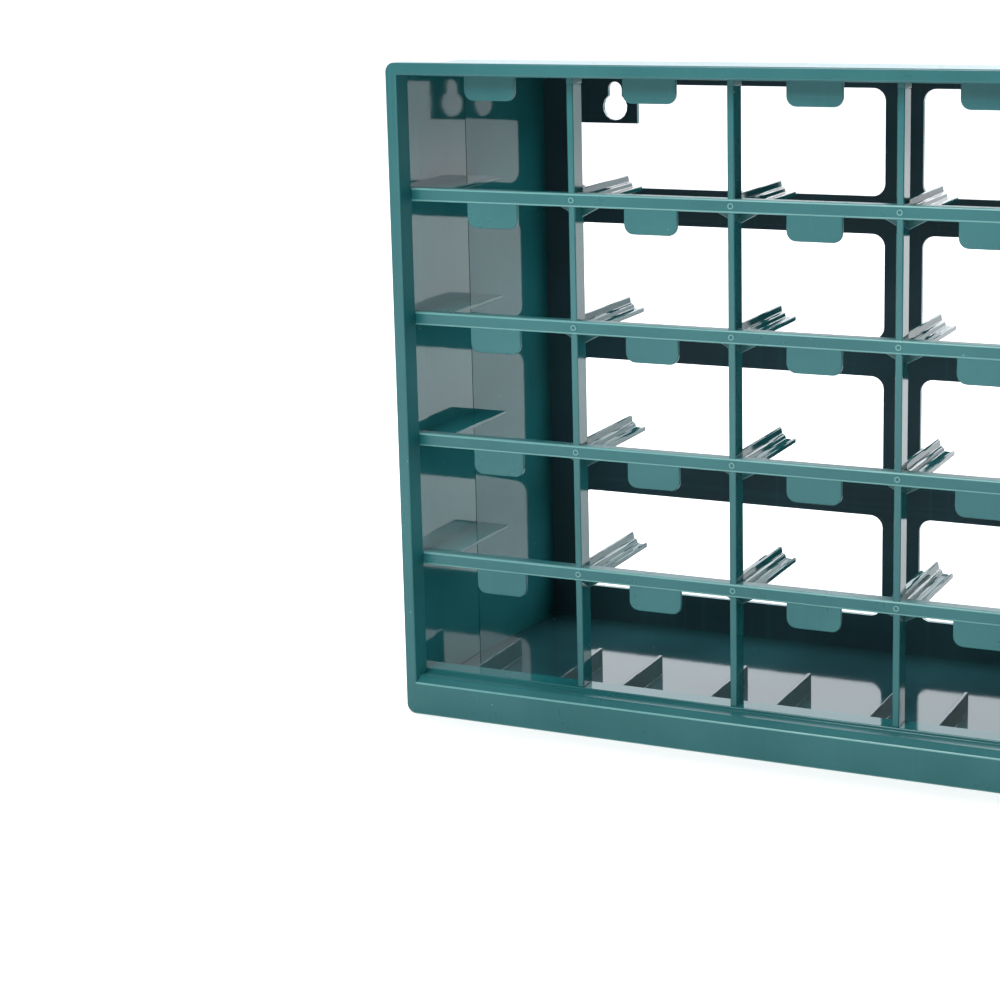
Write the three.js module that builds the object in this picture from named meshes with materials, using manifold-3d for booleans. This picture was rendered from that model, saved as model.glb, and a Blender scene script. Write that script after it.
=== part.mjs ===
// Wall-hung cabinet for small-parts drawers.
// Frame: millimetres, X to the right, Y towards the back, Z up. The origin is the middle of the base,
// so the front collar is at -DEPTH / 2 and the back panel ends at +DEPTH / 2.
// Two mouldings make the cabinet: a front frame (collar, rails, dividers, runners, front half of the
// shell) and a rear case (back half of the shell, windowed back). Each is built from simple pieces that
// stop 0.3 mm short of each other. Clear drawers slide out along -Y.

import * as THREE from 'three';
import { mergeVertices } from 'three/addons/utils/BufferGeometryUtils.js';
import Module from 'manifold-3d';

const wasm = await Module();
wasm.setup();

// ---- Driving dimensions --------------------------------------------------------------------------

const COLUMNS = 5;
const ROWS = 5;
const COLUMN_PITCH = 61;
const ROW_PITCH = 46.3;
const SILL_HEIGHT = 16; // top of the sill, where the lowest drawers slide
const WIDTH = 322.6;
const HEIGHT = 247.5;
const DEPTH = 116;
const GAP = 0.3; // clearance between pieces that touch
const WALL = 1.8;

const RIM_FACE = 4.5; // width of the collar's front face
const RIM_DEPTH = 8; // how far the collar stands in front of the grid
const RIM_CORNER = 3.5;
const BOTTOM_FACE = 12.4; // height of the collar's lower front face
const BOTTOM_BEVEL = 2.2; // height of the bevel above that face
const BOTTOM_BEVEL_RUN = 2.8;
const BASE_LIP = 7; // depth of the flange that the collar stands on

const DIVIDER_WIDTH = 2.6;
const BAR_DEPTH = 8.5; // depth of dividers and of the sill
const RAIL_HEIGHT = 5;
const RAIL_FACE = 2; // thickness of a rail's front strip
const RAIL_SHELF = 1.8;
const TAB_WIDTH = 20.4;
const TAB_DROP = 9;
const TAB_CORNER = 3.5;

const RUNNER_END = 51; // runners end this far behind the grid
const RUNNER_HALF = 6.2; // half the width of a runner's flange
const RUNNER_ROOT_HALF = 2;
const RUNNER_FIN_HALF = 0.6;
const RUNNER_LEVELS = [-4.6, -3.2, -1.5, 1]; // flange foot, flange top, root top, fin top
const SHELF_WIDTH = 11.8;
const SHELF_DROP = 1;
const SHELF_THICKNESS = 1.4;
const OUTER_SHIFT = 1.4; // tabs and drawers of the wider outer columns lie this far further out

const SEAM = 47; // the shell's two halves meet this far behind the grid
const LAP_LENGTH = 7; // length of the rear case's lip round the front frame
const LAP_THICKNESS = 1.2;
const WALL_STEP = 0.5; // the side wall lies this far outside the collar's inner side
const REAR_INNER = 151.9; // inner face of the tapered side wall where it meets the back
const TOP_PLATE = 240.6; // underside of the front shell's top
const REAR_TOP = 239; // underside of the rear case's top where it meets the back
const FLOOR_TOP = 8.2;
const FIN_TOP = 15.7;
const FIN_OFFSET = 12.8; // floor fins, measured from the nearest divider
const FIN_THICKNESS = 1.5;
const FOOT_WIDTH = 20;
const FOOT_LENGTH = 24;
const FOOT_CENTRE = 112;

const WINDOW_COLUMNS = 2;
const WINDOW_ROWS = 4;
const WINDOW_WIDTH = 131;
const WINDOW_HEIGHT = 41.4;
const WINDOW_TOP = 232;
const WINDOW_STRIP = 14.7;
const WINDOW_MIDDLE = 15;
const WINDOW_CORNER = 5;
const KEY_PLATE_WIDTH = 27.8;
const KEY_PLATE_DROP = 15.6;
const KEY_OFFSET = 18.2; // keyhole centre from the window's outer edge
const KEY_BIG_RADIUS = 5.3;
const KEY_BIG_HEIGHT = 222.9;
const KEY_SLOT_RADIUS = 2.95;
const KEY_SLOT_HEIGHT = 230;

const DRAWER_COLUMN = 4; // the filled column, counted from 0 at the left
const DRAWER_WIDTH = 56;
const DRAWER_WALL = 1.2;
const DRAWER_HEIGHT = 36;
const DRAWER_BACK = 54; // back of the drawer's box, in Y
const DRAWER_PANEL = [59.6, 41.6, 2]; // width, height, thickness of the front
const DRAWER_PANEL_DROP = 0.8;
const PULL_WIDTH = 24;
const PULL_REACH = 4.8;

// ---- Derived places ------------------------------------------------------------------------------

const FRONT = -DEPTH / 2;
const GRID = FRONT + RIM_DEPTH;
const BACK = DEPTH / 2;
const BACK_INNER = BACK - 2;
const BAR_BACK = GRID + BAR_DEPTH;
const SEAM_Y = GRID + SEAM;
const CELL_EDGE = WIDTH / 2 - RIM_FACE; // outer edge of the outer cells, level with the collar's inside
const WALL_INNER = CELL_EDGE + WALL_STEP;
const WALL_OUTER = WALL_INNER + WALL;
const REAR_OUTER = REAR_INNER + WALL;
const rowFloor = (row) => SILL_HEIGHT + (ROWS - row) * ROW_PITCH; // row 1 is at the top
const dividerX = (index) => (index - COLUMNS / 2) * COLUMN_PITCH; // 1 to COLUMNS - 1
const cellX = (column) => (column + 0.5 - COLUMNS / 2) * COLUMN_PITCH; // 0 to COLUMNS - 1

// Centre of a column's stop tab and drawer.
function stopX(column) {
  const outward = { 0: -OUTER_SHIFT, [COLUMNS - 1]: OUTER_SHIFT };
  return cellX(column) + (outward[column] ?? 0);
}

// ---- Materials -----------------------------------------------------------------------------------

function teal() {
  return new THREE.MeshStandardMaterial({ color: 0x24655f, roughness: 0.22, metalness: 0 });
}

function clear() {
  return new THREE.MeshStandardMaterial({
    color: 0xdde6e8,
    roughness: 0.08,
    metalness: 0,
    transparent: true,
    opacity: 0.35,
  });
}

// ---- Geometry helpers ----------------------------------------------------------------------------

function polygon(points) {
  return new THREE.Shape(points.map(([a, b]) => new THREE.Vector2(a, b)));
}

function roundedRectangle(path, left, bottom, right, top, radius) {
  path.moveTo(left + radius, bottom);
  path.lineTo(right - radius, bottom);
  path.absarc(right - radius, bottom + radius, radius, -Math.PI / 2, 0, false);
  path.lineTo(right, top - radius);
  path.absarc(right - radius, top - radius, radius, 0, Math.PI / 2, false);
  path.lineTo(left + radius, top);
  path.absarc(left + radius, top - radius, radius, Math.PI / 2, Math.PI, false);
  path.lineTo(left, bottom + radius);
  path.absarc(left + radius, bottom + radius, radius, Math.PI, 1.5 * Math.PI, false);
  return path;
}

// A section drawn in Y and Z, drawn out along X.
function alongX(shape, from, to) {
  const geometry = new THREE.ExtrudeGeometry(shape, { depth: to - from, bevelEnabled: false });
  const turn = new THREE.Matrix4().makeBasis(
    new THREE.Vector3(0, 1, 0),
    new THREE.Vector3(0, 0, 1),
    new THREE.Vector3(1, 0, 0),
  );
  return geometry.applyMatrix4(turn).translate(from, 0, 0);
}

// A section drawn in X and Z, drawn out along Y.
function alongY(shape, from, to) {
  const options = { depth: to - from, bevelEnabled: false, curveSegments: 6 };
  return new THREE.ExtrudeGeometry(shape, options).rotateX(Math.PI / 2).translate(0, to, 0);
}

// A section drawn in X and Y, drawn out along Z.
function alongZ(shape, from, to) {
  const geometry = new THREE.ExtrudeGeometry(shape, { depth: to - from, bevelEnabled: false });
  return geometry.translate(0, 0, from);
}

function block([left, right], [front, back], [bottom, top]) {
  const geometry = new THREE.BoxGeometry(right - left, back - front, top - bottom);
  return geometry.translate((left + right) / 2, (front + back) / 2, (bottom + top) / 2);
}

function solidOf(geometry) {
  const bare = geometry.clone();
  bare.deleteAttribute('normal');
  bare.deleteAttribute('uv');
  const merged = mergeVertices(bare, 1e-4);
  return new wasm.Manifold(new wasm.Mesh({
    numProp: 3,
    vertProperties: Float32Array.from(merged.attributes.position.array),
    triVerts: Uint32Array.from(merged.index.array),
  }));
}

function geometryOf(solid) {
  const mesh = solid.getMesh();
  const geometry = new THREE.BufferGeometry();
  geometry.setAttribute('position', new THREE.BufferAttribute(mesh.vertProperties, 3));
  geometry.setIndex(new THREE.BufferAttribute(mesh.triVerts, 1));
  return geometry;
}

function combine(added, removed = []) {
  let solid = solidOf(added[0]);
  for (const geometry of added.slice(1)) {
    solid = solid.add(solidOf(geometry));
  }
  for (const geometry of removed) {
    solid = solid.subtract(solidOf(geometry));
  }
  return geometryOf(solid);
}

// The space that two solids share.
function overlap(first, second) {
  return geometryOf(solidOf(first).intersect(solidOf(second)));
}

// ---- Assembly ------------------------------------------------------------------------------------

const cabinet = new THREE.Group();
cabinet.name = 'small_parts_cabinet';

function place(name, geometry, material = teal()) {
  const mesh = new THREE.Mesh(geometry, material);
  mesh.name = name;
  cabinet.add(mesh);
  return mesh;
}

// ---- Front collar --------------------------------------------------------------------------------

// A channel that is open to the back: [across, Y] points for a collar bar of face RIM_FACE,
// measured from its outer edge inwards.
function collarChannel(outer, inward) {
  const wall = 1.6;
  const back = GRID - GAP;
  const at = (distance) => outer + inward * distance;
  return [
    [at(0), FRONT],
    [at(RIM_FACE), FRONT],
    [at(RIM_FACE), back],
    [at(RIM_FACE - wall), back],
    [at(RIM_FACE - wall), FRONT + wall],
    [at(wall), FRONT + wall],
    [at(wall), back],
    [at(0), back],
  ];
}

function collarOutline() {
  const outline = new THREE.Shape();
  roundedRectangle(outline, -WIDTH / 2, 0, WIDTH / 2, HEIGHT, RIM_CORNER);
  return alongY(outline, FRONT - 1, GRID + BAR_DEPTH + 1);
}

function roundCorners(geometry) {
  return overlap(geometry, collarOutline());
}

function rimTop() {
  const section = collarChannel(HEIGHT, -1).map(([z, y]) => [y, z]);
  return roundCorners(alongX(polygon(section), -WIDTH / 2, WIDTH / 2));
}

function rimSide(side) {
  const section = collarChannel(side * WIDTH / 2, -side);
  return roundCorners(alongZ(polygon(section), 0, HEIGHT - RIM_FACE - GAP));
}

// Lower bar: base flange, tall front face, bevel, ledge, and the sill that the dividers stand on.
function rimBottom() {
  const ledge = BOTTOM_FACE + BOTTOM_BEVEL;
  const inner = FRONT + WALL;
  const sillWall = BAR_BACK - WALL;
  const section = polygon([
    [FRONT, 0],
    [FRONT, BOTTOM_FACE],
    [FRONT + BOTTOM_BEVEL_RUN, ledge],
    [GRID, ledge],
    [GRID, SILL_HEIGHT],
    [BAR_BACK, SILL_HEIGHT],
    [BAR_BACK, FLOOR_TOP - WALL],
    [sillWall, FLOOR_TOP - WALL],
    [sillWall, SILL_HEIGHT - WALL],
    [GRID + WALL, SILL_HEIGHT - WALL],
    [GRID + WALL, ledge - WALL],
    [FRONT + BOTTOM_BEVEL_RUN + 0.7, ledge - WALL],
    [inner, BOTTOM_FACE - 1],
    [inner, WALL],
    [FRONT + BASE_LIP, WALL],
    [FRONT + BASE_LIP, 0],
  ]);
  const reach = CELL_EDGE - GAP;
  return alongX(section, -reach, reach);
}

place('rim_top', rimTop());
place('rim_bottom', rimBottom());
place('rim_left', rimSide(-1));
place('rim_right', rimSide(1));

// ---- Rails, stop tabs and dividers ---------------------------------------------------------------

// Front strip with one stop tab hanging in the middle of each column.
function tabbedStrip(halfLength, top, bottom, tabEnd) {
  const strip = new THREE.Shape();
  strip.moveTo(-halfLength, top);
  strip.lineTo(-halfLength, bottom);
  for (let column = 0; column < COLUMNS; column += 1) {
    const left = stopX(column) - TAB_WIDTH / 2;
    const right = stopX(column) + TAB_WIDTH / 2;
    const lower = tabEnd + TAB_CORNER;
    strip.lineTo(left, bottom);
    strip.lineTo(left, lower);
    strip.absarc(left + TAB_CORNER, lower, TAB_CORNER, Math.PI, 1.5 * Math.PI, false);
    strip.lineTo(right - TAB_CORNER, tabEnd);
    strip.absarc(right - TAB_CORNER, lower, TAB_CORNER, -Math.PI / 2, 0, false);
    strip.lineTo(right, bottom);
  }
  strip.lineTo(halfLength, bottom);
  strip.lineTo(halfLength, top);
  return alongY(strip, GRID, GRID + RAIL_FACE);
}

function rail(row) {
  const top = rowFloor(row);
  const reach = CELL_EDGE - GAP;
  const strip = tabbedStrip(reach, top, top - RAIL_HEIGHT, top - RAIL_HEIGHT - TAB_DROP);
  const shelf = block([-reach, reach], [GRID + 1, BAR_BACK], [top - RAIL_SHELF, top]);
  const slots = [];
  for (let index = 1; index < COLUMNS; index += 1) {
    const half = DIVIDER_WIDTH / 2 + GAP;
    const centre = dividerX(index);
    const span = [GRID + RAIL_FACE, BAR_BACK + 1];
    slots.push(block([centre - half, centre + half], span, [top - RAIL_HEIGHT, top + 1]));
  }
  return combine([strip, shelf], slots);
}

// A full-height bar, notched at each rail so that the rail's strip passes in front of it.
function divider(index) {
  const half = DIVIDER_WIDTH / 2;
  const points = [[GRID, SILL_HEIGHT + GAP]];
  for (let row = ROWS - 1; row >= 1; row -= 1) {
    const top = rowFloor(row);
    const notch = GRID + RAIL_FACE + GAP;
    points.push([GRID, top - RAIL_HEIGHT - GAP], [notch, top - RAIL_HEIGHT - GAP]);
    points.push([notch, top + GAP], [GRID, top + GAP]);
  }
  points.push([GRID, TOP_PLATE - GAP], [BAR_BACK, TOP_PLATE - GAP], [BAR_BACK, SILL_HEIGHT + GAP]);
  return alongX(polygon(points), dividerX(index) - half, dividerX(index) + half);
}

for (let row = 1; row < ROWS; row += 1) {
  place(`rail_${row}`, rail(row));
}
for (let index = 1; index < COLUMNS; index += 1) {
  place(`divider_${index}`, divider(index));
}

// ---- Runners -------------------------------------------------------------------------------------

// Inverted T: a wide flange, a stepped root and a thin fin that parts two neighbouring drawers.
function runner(row, index) {
  const base = rowFloor(row);
  const centre = dividerX(index);
  const [foot, flange, root, fin] = RUNNER_LEVELS.map((level) => base + level);
  const half = [
    [RUNNER_HALF, foot],
    [RUNNER_HALF, flange],
    [RUNNER_ROOT_HALF, flange],
    [RUNNER_ROOT_HALF, root],
    [RUNNER_FIN_HALF, root],
    [RUNNER_FIN_HALF, fin],
  ];
  const right = half.map(([x, z]) => [centre + x, z]);
  const left = half.map(([x, z]) => [centre - x, z]).reverse();
  return alongY(polygon([...right, ...left]), BAR_BACK + GAP, GRID + RUNNER_END);
}

// A shelf on the front wall. Past the seam it keeps clear of the tapered rear wall.
function sideShelf(side, row) {
  const top = rowFloor(row) - SHELF_DROP;
  const outer = WALL_INNER - GAP;
  const inner = outer - SHELF_WIDTH;
  const front = BAR_BACK + GAP;
  const back = GRID + RUNNER_END;
  const plan = polygon([
    [side * outer, front],
    [side * inner, front],
    [side * inner, back],
    [side * (outer - 2 * GAP), back],
    [side * (outer - 2 * GAP), SEAM_Y - GAP],
    [side * outer, SEAM_Y - GAP],
  ]);
  return alongZ(plan, top - SHELF_THICKNESS, top);
}

for (let row = 1; row < ROWS; row += 1) {
  for (let index = 1; index < COLUMNS; index += 1) {
    place(`runner_${row}_${index}`, runner(row, index));
  }
  place(`left_shelf_${row}`, sideShelf(-1, row));
  place(`right_shelf_${row}`, sideShelf(1, row));
}

// ---- Front half of the shell ---------------------------------------------------------------------

function frontTop() {
  const tabEnd = rowFloor(0) - RAIL_HEIGHT - TAB_DROP;
  const strip = tabbedStrip(WALL_OUTER, HEIGHT - RIM_FACE / 2, TOP_PLATE, tabEnd);
  const back = SEAM_Y - GAP;
  const plate = block([-WALL_OUTER, WALL_OUTER], [GRID + 1, back], [TOP_PLATE, TOP_PLATE + WALL]);
  return combine([strip, plate]);
}

// Stile behind the collar's inner side, and the thinner side wall.
function frontWall(side) {
  const back = SEAM_Y - GAP;
  const section = polygon([
    [side * WALL_OUTER, GRID],
    [side * CELL_EDGE, GRID],
    [side * CELL_EDGE, BAR_BACK],
    [side * WALL_INNER, BAR_BACK],
    [side * WALL_INNER, back],
    [side * WALL_OUTER, back],
  ]);
  return alongZ(section, FLOOR_TOP + GAP, TOP_PLATE - GAP);
}

// Two guide fins per column carry the lowest drawers at the height of the sill.
function frontFloor() {
  const front = BAR_BACK + GAP;
  const back = SEAM_Y - GAP;
  const plate = block([-WALL_OUTER, WALL_OUTER], [front, back], [FLOOR_TOP - WALL, FLOOR_TOP]);
  const fins = [];
  for (let column = 0; column < COLUMNS; column += 1) {
    for (const side of [-1, 1]) {
      const centre = cellX(column) + side * (COLUMN_PITCH / 2 - FIN_OFFSET);
      const span = [centre - FIN_THICKNESS / 2, centre + FIN_THICKNESS / 2];
      fins.push(block(span, [front, back], [FLOOR_TOP - 1, FIN_TOP]));
    }
  }
  return combine([plate, ...fins]);
}

place('front_top', frontTop());
place('front_left_wall', frontWall(-1));
place('front_right_wall', frontWall(1));
place('front_floor', frontFloor());

// ---- Rear case -----------------------------------------------------------------------------------

// A tapered wall from the seam to the back, with a lip that laps over the outside of the front frame.
// The points are [distance from the middle, Y].
function taperedWall(seamInner, backInner) {
  const lapInner = seamInner + WALL + GAP;
  const lapOuter = lapInner + LAP_THICKNESS;
  const back = BACK_INNER - GAP;
  return [
    [seamInner, SEAM_Y],
    [lapInner, SEAM_Y],
    [lapInner, SEAM_Y - LAP_LENGTH],
    [lapOuter, SEAM_Y - LAP_LENGTH],
    [lapOuter, SEAM_Y + 2],
    [seamInner + WALL, SEAM_Y + 4],
    [backInner + WALL, back],
    [backInner, back],
  ];
}

// The walls rise to the underside of the top, and their lips to that of the top's lip.
function rearWall(side) {
  const section = taperedWall(WALL_INNER, REAR_INNER).map(([x, y]) => [side * x, y]);
  const under = polygon([
    [GRID, 0],
    [BACK_INNER, 0],
    [BACK_INNER, REAR_TOP - GAP],
    [SEAM_Y - GAP, TOP_PLATE - GAP],
    [SEAM_Y - GAP, TOP_PLATE + WALL],
    [GRID, TOP_PLATE + WALL],
  ]);
  return overlap(
    alongZ(polygon(section), FLOOR_TOP + GAP, HEIGHT),
    alongX(under, -WIDTH / 2, WIDTH / 2),
  );
}

function rearTop() {
  const section = taperedWall(TOP_PLATE, REAR_TOP).map(([z, y]) => [y, z]);
  const edge = taperedWall(WALL_INNER, REAR_INNER).slice(3, 7);
  const mirrored = edge.map(([x, y]) => [-x, y]).reverse();
  return overlap(
    alongX(polygon(section), -WIDTH / 2, WIDTH / 2),
    alongZ(polygon([...edge, ...mirrored]), 0, HEIGHT),
  );
}

function rearFloor() {
  const back = BACK_INNER - GAP;
  const plan = polygon([
    [-WALL_OUTER, SEAM_Y],
    [WALL_OUTER, SEAM_Y],
    [REAR_OUTER, back],
    [-REAR_OUTER, back],
  ]);
  const feet = [-1, 1].map((side) => {
    const centre = side * FOOT_CENTRE;
    const span = [centre - FOOT_WIDTH / 2, centre + FOOT_WIDTH / 2];
    return block(span, [back - 4 - FOOT_LENGTH, back - 4], [0, FLOOR_TOP - 1]);
  });
  return combine([alongZ(plan, FLOOR_TOP - WALL, FLOOR_TOP), ...feet]);
}

// A keyhole: a round hole for the screw's head with a slot above it for the shank.
function keyhole(centre) {
  const hole = new THREE.Path();
  const meet = Math.acos(KEY_SLOT_RADIUS / KEY_BIG_RADIUS);
  hole.absarc(centre, KEY_BIG_HEIGHT, KEY_BIG_RADIUS, meet, Math.PI - meet, true);
  hole.lineTo(centre - KEY_SLOT_RADIUS, KEY_SLOT_HEIGHT);
  hole.absarc(centre, KEY_SLOT_HEIGHT, KEY_SLOT_RADIUS, Math.PI, 0, true);
  return hole;
}

// A top window, whose outer upper corner is taken by the square plate round the keyhole.
function keyedWindow(side) {
  const outer = WINDOW_MIDDLE / 2 + WINDOW_WIDTH;
  const bottom = WINDOW_TOP - WINDOW_HEIGHT;
  const round = WINDOW_CORNER;
  const hole = new THREE.Path();
  const quarter = Math.PI / 2;
  const x = (distance) => side * distance;
  const arc = (distance, z, from) => {
    const start = side > 0 ? from : Math.PI - from;
    hole.absarc(x(distance), z, round, start, start + side * quarter, side < 0);
  };
  hole.moveTo(x(outer), WINDOW_TOP - KEY_PLATE_DROP);
  hole.lineTo(x(outer - KEY_PLATE_WIDTH), WINDOW_TOP - KEY_PLATE_DROP);
  hole.lineTo(x(outer - KEY_PLATE_WIDTH), WINDOW_TOP);
  arc(WINDOW_MIDDLE / 2 + round, WINDOW_TOP - round, quarter);
  arc(WINDOW_MIDDLE / 2 + round, bottom + round, 2 * quarter);
  arc(outer - round, bottom + round, 3 * quarter);
  return hole;
}

function backPanel() {
  const panel = polygon([
    [-REAR_OUTER, FLOOR_TOP - WALL],
    [REAR_OUTER, FLOOR_TOP - WALL],
    [REAR_OUTER, REAR_TOP + WALL],
    [-REAR_OUTER, REAR_TOP + WALL],
  ]);
  for (const side of [-1, 1]) {
    panel.holes.push(keyedWindow(side));
    panel.holes.push(keyhole(side * (WINDOW_MIDDLE / 2 + WINDOW_WIDTH - KEY_OFFSET)));
  }
  for (let row = 1; row < WINDOW_ROWS; row += 1) {
    const top = WINDOW_TOP - row * (WINDOW_HEIGHT + WINDOW_STRIP);
    for (let column = 0; column < WINDOW_COLUMNS; column += 1) {
      const left = column === 0 ? -WINDOW_MIDDLE / 2 - WINDOW_WIDTH : WINDOW_MIDDLE / 2;
      const hole = new THREE.Path();
      const right = left + WINDOW_WIDTH;
      panel.holes.push(roundedRectangle(hole, left, top - WINDOW_HEIGHT, right, top, WINDOW_CORNER));
    }
  }
  return alongY(panel, BACK_INNER, BACK);
}

place('rear_left_wall', rearWall(-1));
place('rear_right_wall', rearWall(1));
place('rear_top', rearTop());
place('rear_floor', rearFloor());
place('back_panel', backPanel());

// ---- Drawers -------------------------------------------------------------------------------------

// Open-topped box, a front that covers the cell's opening, and a sloped finger pull. The back wall is
// taller than the gap under the stop tab, so the tab catches it at full travel.
function drawer() {
  const half = DRAWER_WIDTH / 2;
  const inside = half - DRAWER_WALL;
  const [panelWidth, panelHeight, panelDepth] = DRAWER_PANEL;
  const panelBack = GRID - GAP;
  const panelFront = panelBack - panelDepth;
  const box = block([-half, half], [panelBack - 1, DRAWER_BACK], [GAP, DRAWER_HEIGHT]);
  const hollow = block(
    [-inside, inside],
    [panelBack + 0.2, DRAWER_BACK - DRAWER_WALL],
    [GAP + DRAWER_WALL, DRAWER_HEIGHT + 1],
  );
  const panel = block(
    [-panelWidth / 2, panelWidth / 2],
    [panelFront, panelBack],
    [-DRAWER_PANEL_DROP, panelHeight - DRAWER_PANEL_DROP],
  );
  const pull = alongX(polygon([
    [panelFront + 0.5, 14],
    [panelFront - PULL_REACH, 10.5],
    [panelFront - PULL_REACH, 8.5],
    [panelFront + 0.5, 11],
  ]), -PULL_WIDTH / 2, PULL_WIDTH / 2);
  return combine([box, panel, pull], [hollow]);
}

for (let row = 1; row <= ROWS; row += 1) {
  const mesh = place(`drawer_${row}`, drawer(), clear());
  mesh.position.set(stopX(DRAWER_COLUMN), 0, rowFloor(row));
}

export default cabinet;
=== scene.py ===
"""Small-parts drawer cabinet: the looks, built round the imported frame.

Lengths are metres. X runs to the right, Y towards the back and Z up; the grid of cells faces -Y.
"""

import math

import bmesh
import bpy
from mathutils import Matrix, Vector


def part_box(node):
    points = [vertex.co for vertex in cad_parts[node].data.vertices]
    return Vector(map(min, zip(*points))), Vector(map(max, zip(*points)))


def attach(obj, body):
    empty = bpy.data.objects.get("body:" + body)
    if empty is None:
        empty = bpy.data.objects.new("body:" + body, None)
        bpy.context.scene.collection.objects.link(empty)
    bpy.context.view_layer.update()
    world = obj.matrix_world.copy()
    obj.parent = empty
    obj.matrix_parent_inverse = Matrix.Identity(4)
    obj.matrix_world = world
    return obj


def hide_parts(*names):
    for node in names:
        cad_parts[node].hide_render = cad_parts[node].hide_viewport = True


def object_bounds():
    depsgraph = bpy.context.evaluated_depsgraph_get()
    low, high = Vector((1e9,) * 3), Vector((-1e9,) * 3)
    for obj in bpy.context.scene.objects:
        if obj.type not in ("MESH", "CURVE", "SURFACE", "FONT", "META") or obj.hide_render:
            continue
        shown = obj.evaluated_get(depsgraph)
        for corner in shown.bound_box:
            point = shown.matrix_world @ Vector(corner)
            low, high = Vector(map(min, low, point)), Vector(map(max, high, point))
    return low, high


bl_info = {
    "name": "Small Parts Cabinet",
    "version": (1, 0, 0),
    "blender": (4, 5, 0),
    "location": "View3D > Sidebar > Parts Cabinet",
    "description": "Moulded cabinet of open cells with clear drawers",
    "category": "Object",
}

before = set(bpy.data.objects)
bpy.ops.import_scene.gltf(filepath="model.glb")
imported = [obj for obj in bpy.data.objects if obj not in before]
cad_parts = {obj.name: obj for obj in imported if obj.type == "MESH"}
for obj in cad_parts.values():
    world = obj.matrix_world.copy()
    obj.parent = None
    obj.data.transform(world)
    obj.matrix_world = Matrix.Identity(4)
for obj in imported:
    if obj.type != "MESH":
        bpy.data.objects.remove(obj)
CAD_LOW, CAD_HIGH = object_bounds()

MM = 0.001
COLUMNS = 5
ROWS = 5
GAP = 0.3 * MM  # clearance between a drawer and the grid
SINK = 0.4 * MM  # how far one shell of a moulding reaches into the next
FLOOR_DROP = 0.03 * MM  # how far the rear floor's top lies under the front one's
TOUCH = 0.01 * MM  # places nearer than this count as one
SHARP = math.radians(32)  # edges that turn more than this are rounded
FACING = 0.9  # a face looks along an axis when its normal's share of it is over this
MID_HEIGHT = 0.1  # parts the upper ends of the walls from the lower ones
REAR_END = 0.04  # only the ends that meet the back panel lie behind this
WEB_EDGE = 0.25 * MM  # rounding of runners and gussets
WALL_EDGE = 0.2 * MM  # rounding of the front walls, the floor and the wall shelves
CASE_EDGE = 0.3 * MM
DRAWER_EDGE = 0.35 * MM

# ---- Places taken from the frame --------------------------------------------------------------------

RAIL_TOPS = [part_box(f"rail_{row}")[1].z for row in range(1, ROWS)]
DIVIDER_CENTRES = [
    (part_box(f"divider_{index}")[0].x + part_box(f"divider_{index}")[1].x) / 2
    for index in range(1, COLUMNS)
]
COLUMN_PITCH = DIVIDER_CENTRES[1] - DIVIDER_CENTRES[0]
OUTER_STOP = (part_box("drawer_1")[0].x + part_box("drawer_1")[1].x) / 2
INNER_STOPS = [DIVIDER_CENTRES[0] + (i + 0.5) * COLUMN_PITCH for i in range(COLUMNS - 2)]
STOP_CENTRES = [-OUTER_STOP, *INNER_STOPS, OUTER_STOP]
GRID_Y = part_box("rail_1")[0].y
BAR_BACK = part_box("divider_1")[1].y
CELL_EDGE = -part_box("rim_left")[1].x
SILL_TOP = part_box("rim_bottom")[1].z


# ---- Sizes and colours a user may change ------------------------------------------------------------


def length(name, description, millimetres):
    return bpy.props.FloatProperty(
        name=name, description=description, default=millimetres * MM, min=0, unit="LENGTH", precision=5
    )


def colour(name, description, value):
    return bpy.props.FloatVectorProperty(
        name=name, description=description, default=value, size=3, min=0, max=1, subtype="COLOR"
    )


class CollarSizes(bpy.types.PropertyGroup):
    corner: length("Outer corner", "Radius of the collar's outer corners", 3.5)
    ledge_height: length("Ledge height", "Height of the ledge above the base", 14.6)
    bevel_height: length("Bevel height", "Height of the bevel under the ledge", 2.2)
    bevel_run: length("Bevel run", "How far the bevel slopes back", 2.8)
    base_flange: length("Base flange", "Depth of the flange that the collar stands on", 7.0)
    wall: length("Wall", "Thickness of the lower bar's walls", 1.8)
    draft: length("Draft", "How far the side reveals close in towards the back", 0.6)
    edge: length("Edge round", "Rounding of the arch's edges", 0.6)
    lip: length("Ledge edge", "Rounding of the ledge's edges", 0.4)
    # Edges further below the ledge than this take the pale colour of a painted highlight.
    highlight_line: length("Highlight line", "Only edges this far below the ledge are worn", 0.8)


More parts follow.
